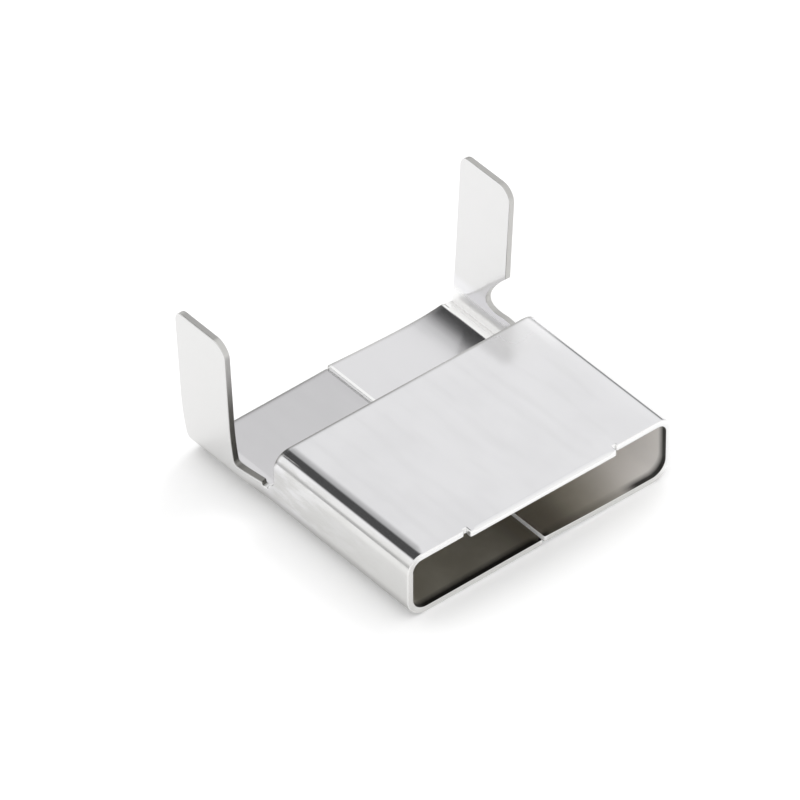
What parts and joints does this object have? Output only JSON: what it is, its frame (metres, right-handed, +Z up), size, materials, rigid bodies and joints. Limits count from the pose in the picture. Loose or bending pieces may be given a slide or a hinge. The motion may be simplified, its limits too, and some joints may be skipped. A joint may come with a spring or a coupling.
{
  "type": "strapping buckle",
  "caption": "Folded stainless sheet buckle for steel strapping: a flat open tube for the strap, with upright ears at the back that fold down to lock it.",
  "frame": {"origin": "on the ground under the middle of the buckle's width and length", "axes": "+X across the strap, +Y from the mouth of the tube to the ears, +Z up from the floor flaps"},
  "size_m": [0.026, 0.023, 0.0132],
  "materials": {
    "stainless": "bright satin stainless sheet with sheared edges"
  },
  "bodies": {
    "root": {"buckle": "stainless"}
  },
  "joints": []
}
